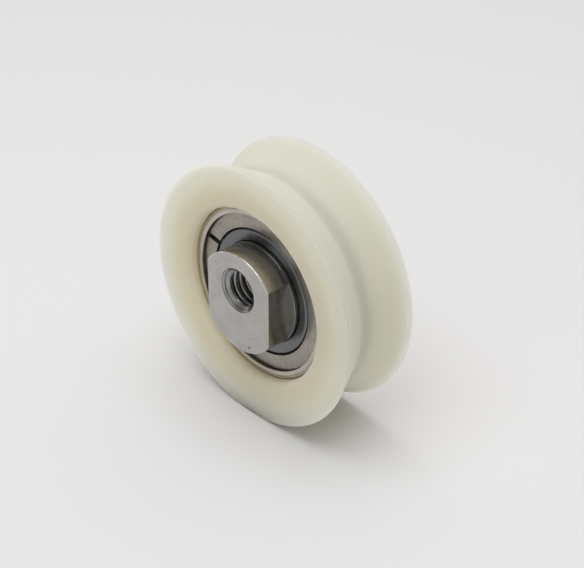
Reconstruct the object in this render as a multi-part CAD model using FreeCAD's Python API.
"""Eccentric grooved roller: a nylon wheel on a shielded ball bearing with an eccentric hub.

Millimetres. The wheel spins about Y, the front with the wrench flats looks along -Y, and +Z is up.
The origin is on the spin axis, half way across the wheel.
"""
import FreeCAD, Part
import math
import os

from FreeCAD import Vector

# Wheel
wheel_diameter = 61.8
wheel_width = 19.4
rim_land = 0.4
rim_round = 0.2
groove_angle = 120.0
groove_floor_radius = 4.5
groove_shoulder_radius = 0.3
bore_edge_round = 0.4
rear_shoulder_height = 1.8
rear_edge_chamfer = 0.5

# Ball bearing, 3/4 x 1-5/8 x 1/2 inch
bearing_bore = 19.05
bearing_outside = 41.275
bearing_width = 12.7
bearing_recess = 2.5
bearing_outer_corner = 0.6
bearing_inner_corner = 0.2
inner_land_diameter = 24.7
outer_land_diameter = 34.5
ball_diameter = 6.35
ball_count = 8
ball_clearance = 0.02
race_conformity = 0.52

# Snap rings and shields in the outer ring
snap_lip_depth = 0.35
snap_lip_diameter = 37.4
snap_groove_width = 1.5
snap_groove_depth = 0.7
snap_ring_thickness = 1.0
snap_ring_inside = 30.2
snap_ring_clearance = 0.05
snap_cut_width = 1.3
snap_cut_place = 155.7
snap_cut_skew = 14.0
rear_cut_turn = 180.0
shield_thickness = 0.4
shield_rim_clearance = 0.1
shield_running_gap = 0.3
shield_step_height = 1.1
shield_step_angle = 70.0
shield_step_clearance = 0.2

# Ribbon cage
cage_sheet = 0.5
cage_width = 2.6
pocket_clearance = 0.1
rivet_diameter = 1.2
rivet_head_diameter = 2.2
rivet_head_height = 0.5

# Eccentric hub
boss_diameter = 24.0
boss_stand_out = 3.36
wrench_flats = 19.6
boss_edge = 0.35
hub_eccentricity = 3.2
tapped_hole_diameter = 7.94
hole_mouth_diameter = 10.6
hole_rear_diameter = 9.6
journal_end_chamfer = 0.6

# Places along the spin axis
front_face = -wheel_width / 2
rear_face = wheel_width / 2
bearing_front = front_face + bearing_recess
bearing_rear = bearing_front + bearing_width
bearing_middle = (bearing_front + bearing_rear) / 2
boss_face = front_face - boss_stand_out

# Radii worked out from the sizes above
pitch_radius = (inner_land_diameter + outer_land_diameter) / 4
ball_radius = ball_diameter / 2
race_radius = race_conformity * ball_diameter
outer_race_floor = pitch_radius + ball_radius + ball_clearance
inner_race_floor = pitch_radius - ball_radius - ball_clearance
snap_lip_radius = snap_lip_diameter / 2
snap_groove_radius = snap_lip_radius + snap_groove_depth
shield_depth = snap_lip_depth + snap_groove_width
snap_ring_depth = shield_depth - snap_ring_clearance - snap_ring_thickness
shield_seat_depth = shield_depth + shield_thickness

axis_start = Vector(0, 0, 0)
axis_along = Vector(0, 1, 0)


def outline(corners):
    """Closed wire through (radius, y, rounding) corners, each rounding a tangent arc."""
    points = [Vector(radius, y, 0) for radius, y, _ in corners]
    starts, ends, middles = [], [], []
    for index, (_, _, rounding) in enumerate(corners):
        here = points[index]
        back = (points[index - 1] - here).normalize()
        ahead = (points[(index + 1) % len(points)] - here).normalize()
        half = back.getAngle(ahead) / 2
        reach = rounding / math.tan(half)
        middle = (back + ahead).normalize() * (rounding / math.sin(half) - rounding)
        starts.append(here + back * reach)
        ends.append(here + ahead * reach)
        middles.append(here + middle)
    edges = []
    for index, (_, _, rounding) in enumerate(corners):
        if rounding > 0:
            edges.append(Part.Arc(starts[index], middles[index], ends[index]).toShape())
        following = starts[(index + 1) % len(points)]
        if ends[index].distanceToPoint(following) > 1e-6:
            edges.append(Part.LineSegment(ends[index], following).toShape())
    return Part.Wire(edges)


def turned(corners):
    """Solid of revolution about the spin axis from (radius, y, rounding) corners."""
    return Part.Face(outline(corners)).revolve(axis_start, axis_along, 360)


def around(shape, angle):
    """Copy of a shape turned about the spin axis."""
    turned_copy = shape.copy()
    turned_copy.rotate(axis_start, axis_along, angle)
    return turned_copy


def mirrored(shape):
    """The same piece at the other end of the bearing."""
    return shape.mirror(Vector(0, bearing_middle, 0), axis_along)


def make_roller():
    """Moulded wheel: a wide rounded V groove between narrow rims, and a bore with a rear shoulder."""
    rim = wheel_diameter / 2
    bore = bearing_outside / 2
    opening = bore - rear_shoulder_height
    flank = math.radians(90 - groove_angle / 2)
    groove_half_width = wheel_width / 2 - rim_land
    groove_apex = rim - groove_half_width * math.tan(flank)
    return turned([
        (bore, front_face, bore_edge_round),
        (rim, front_face, rim_round),
        (rim, -groove_half_width, groove_shoulder_radius),
        (groove_apex, 0, groove_floor_radius),
        (rim, groove_half_width, groove_shoulder_radius),
        (rim, rear_face, rim_round),
        (opening + rear_edge_chamfer, rear_face, 0),
        (opening, rear_face - rear_edge_chamfer, 0),
        (opening, bearing_rear, 0),
        (bore, bearing_rear, 0),
    ])


def race_torus(floor_radius, side):
    """Torus that cuts a ball race whose floor is at a radius, on the inner or outer side."""
    return Part.makeTorus(floor_radius - side * race_radius, race_radius,
                          Vector(0, bearing_middle, 0), axis_along)


def make_outer_ring():
    """Outer ring: ball race, shield seats, and a snap ring groove behind a lip at each end."""
    outside = bearing_outside / 2
    land = outer_land_diameter / 2
    near_end = [
        (0, snap_lip_radius),
        (snap_lip_depth, snap_lip_radius),
        (snap_lip_depth, snap_groove_radius),
        (shield_depth, snap_groove_radius),
        (shield_depth, snap_lip_radius),
        (shield_seat_depth, snap_lip_radius),
        (shield_seat_depth, land),
    ]
    front = [(radius, bearing_front + depth, 0) for depth, radius in near_end]
    rear = [(radius, bearing_rear - depth, 0) for depth, radius in reversed(near_end)]
    blank = turned(front + rear + [
        (outside, bearing_rear, bearing_outer_corner),
        (outside, bearing_front, bearing_outer_corner),
    ])
    return blank.cut(race_torus(outer_race_floor, 1))


def make_inner_ring():
    """Inner ring with its ball race."""
    bore = bearing_bore / 2
    land = inner_land_diameter / 2
    blank = turned([
        (bore, bearing_front, bearing_inner_corner),
        (land, bearing_front, bearing_inner_corner),
        (land, bearing_rear, bearing_inner_corner),
        (bore, bearing_rear, bearing_inner_corner),
    ])
    return blank.cut(race_torus(inner_race_floor, -1))


def ball_places():
    """Angles of the balls about the spin axis."""
    return [360 / ball_count * index for index in range(ball_count)]


def make_ball(angle):
    """One ball at its place between the races."""
    ball = Part.makeSphere(ball_radius, Vector(0, bearing_middle, pitch_radius))
    return around(ball, angle)


def cage_band(depth):
    """Ring that a cage half may fill, from the middle of the bearing towards the front."""
    inside = pitch_radius - cage_width / 2
    outside = pitch_radius + cage_width / 2
    return turned([
        (inside, bearing_middle - depth, 0),
        (outside, bearing_middle - depth, 0),
        (outside, bearing_middle, 0),
        (inside, bearing_middle, 0),
    ])


def make_front_cage():
    """Front half of the ribbon cage: flat webs between ball pockets, with rivet holes."""
    pocket_inside = ball_radius + pocket_clearance
    pocket_outside = pocket_inside + cage_sheet
    centre = Vector(0, bearing_middle, pitch_radius)
    half = cage_band(cage_sheet)
    for angle in ball_places():
        crown = around(Part.makeSphere(pocket_outside, centre), angle)
        half = half.fuse(crown.common(cage_band(pocket_outside)))
    for angle in ball_places():
        half = half.cut(around(Part.makeSphere(pocket_inside, centre), angle))
        half = half.cut(rivet_shank(angle))
    return half.removeSplitter()


def rivet_place(angle):
    """Turn that puts a rivet half way between two balls."""
    return angle + 180 / ball_count


def rivet_shank(angle):
    """Shank of one cage rivet."""
    start = Vector(0, bearing_middle - cage_sheet, pitch_radius)
    shank = Part.makeCylinder(rivet_diameter / 2, 2 * cage_sheet, start, axis_along)
    return around(shank, rivet_place(angle))


def rivet_head(side):
    """Domed head of a rivet, outside the cage sheet on the front (-1) or rear (1)."""
    rise = rivet_head_height
    reach = rivet_head_diameter / 2
    dome = (reach ** 2 + rise ** 2) / (2 * rise)
    seat = bearing_middle + side * cage_sheet
    ball = Part.makeSphere(dome, Vector(0, seat + side * (rise - dome), pitch_radius))
    slab = Part.makeCylinder(reach, rise, Vector(0, seat, pitch_radius), axis_along * side)
    return ball.common(slab)


def make_cage_rivets():
    """The rivets of the cage, one solid each."""
    heads = rivet_head(-1).fuse(rivet_head(1))
    rivets = []
    for angle in ball_places():
        rivet = around(heads, rivet_place(angle)).fuse(rivet_shank(angle))
        rivets.append(rivet.removeSplitter())
    return Part.makeCompound(rivets)


def make_front_shield():
    """Pressed washer: a rim that the snap ring holds on its seat, stepped out round the inner ring."""
    outside = snap_lip_radius - shield_rim_clearance
    inside = inner_land_diameter / 2 + shield_running_gap
    slope = math.radians(shield_step_angle)
    foot = snap_ring_inside / 2 - shield_step_clearance
    brow = foot - shield_step_height / math.tan(slope)
    back_shift = shield_thickness * math.tan(slope / 2)
    rim_face = bearing_front + shield_depth
    step_face = rim_face - shield_step_height
    return turned([
        (outside, rim_face, 0),
        (outside, rim_face + shield_thickness, 0),
        (foot - back_shift, rim_face + shield_thickness, 0),
        (brow - back_shift, step_face + shield_thickness, 0),
        (inside, step_face + shield_thickness, 0),
        (inside, step_face, 0),
        (brow, step_face, 0),
        (foot, rim_face, 0),
    ])


def make_front_snap_ring(cut_place):
    """Split ring of square section with a saw cut that is skewed to the radius."""
    inside = snap_ring_inside / 2
    outside = snap_groove_radius - snap_ring_clearance
    face = bearing_front + snap_ring_depth
    back = face + snap_ring_thickness
    ring = turned([
        (inside, face, 0),
        (outside, face, 0),
        (outside, back, 0),
        (inside, back, 0),
    ])
    reach = outside - inside
    middle_radius = (outside + inside) / 2
    saw = Part.makeBox(2 * reach, 3 * snap_ring_thickness, snap_cut_width,
                       Vector(-reach, face - snap_ring_thickness, -snap_cut_width / 2))
    saw.rotate(axis_start, axis_along, -snap_cut_skew)
    saw.translate(Vector(middle_radius, 0, 0))
    return ring.cut(around(saw, -cut_place))


def make_hub():
    """Turned hub: boss with two milled flats, journal for the bearing, tapped hole off the axis."""
    boss = boss_diameter / 2
    journal = bearing_bore / 2
    blank = turned([
        (0, boss_face, 0),
        (boss - boss_edge, boss_face, 0),
        (boss, boss_face + boss_edge, 0),
        (boss, bearing_front, 0),
        (journal, bearing_front, 0),
        (journal, bearing_rear - journal_end_chamfer, 0),
        (journal - journal_end_chamfer, bearing_rear, 0),
        (0, bearing_rear, 0),
    ])
    boss_length = bearing_front - boss_face
    flat_depth = (boss_diameter - wrench_flats) / 2
    for side in (-1, 1):
        corner = min(side * wrench_flats / 2, side * (wrench_flats / 2 + flat_depth))
        waste = Part.makeBox(flat_depth, boss_length, boss_diameter,
                             Vector(corner, boss_face, -boss))
        blank = blank.cut(waste)
    drill = tapped_hole_diameter / 2
    hole_centre = Vector(0, boss_face, hub_eccentricity)
    hole = Part.makeCylinder(drill, bearing_rear - boss_face, hole_centre, axis_along)
    mouth = hole_mouth_diameter / 2
    front_sink = Part.makeCone(mouth, drill, mouth - drill, hole_centre, axis_along)
    rear = hole_rear_diameter / 2
    rear_sink = Part.makeCone(rear, drill, rear - drill,
                              Vector(0, bearing_rear, hub_eccentricity), -axis_along)
    return blank.cut(hole).cut(front_sink).cut(rear_sink)


def make_parts():
    """Every node of the assembly by name."""
    front_cage = make_front_cage()
    front_shield = make_front_shield()
    parts = {
        "roller": make_roller(),
        "eccentric_hub": make_hub(),
        "bearing_outer_ring": make_outer_ring(),
        "bearing_inner_ring": make_inner_ring(),
        "cage_front": front_cage,
        "cage_rear": mirrored(front_cage),
        "cage_rivets": make_cage_rivets(),
        "front_shield": front_shield,
        "rear_shield": mirrored(front_shield),
        "front_snap_ring": make_front_snap_ring(snap_cut_place),
        "rear_snap_ring": mirrored(make_front_snap_ring(snap_cut_place + rear_cut_turn)),
    }
    for index, angle in enumerate(ball_places(), start=1):
        parts[f"ball_{index}"] = make_ball(angle)
    return parts


os.makedirs("parts", exist_ok=True)
for name, shape in make_parts().items():
    shape.exportStep(f"parts/{name}.step")
    print(name, "solids", len(shape.Solids), "valid", shape.isValid(), "volume", round(shape.Volume, 2))
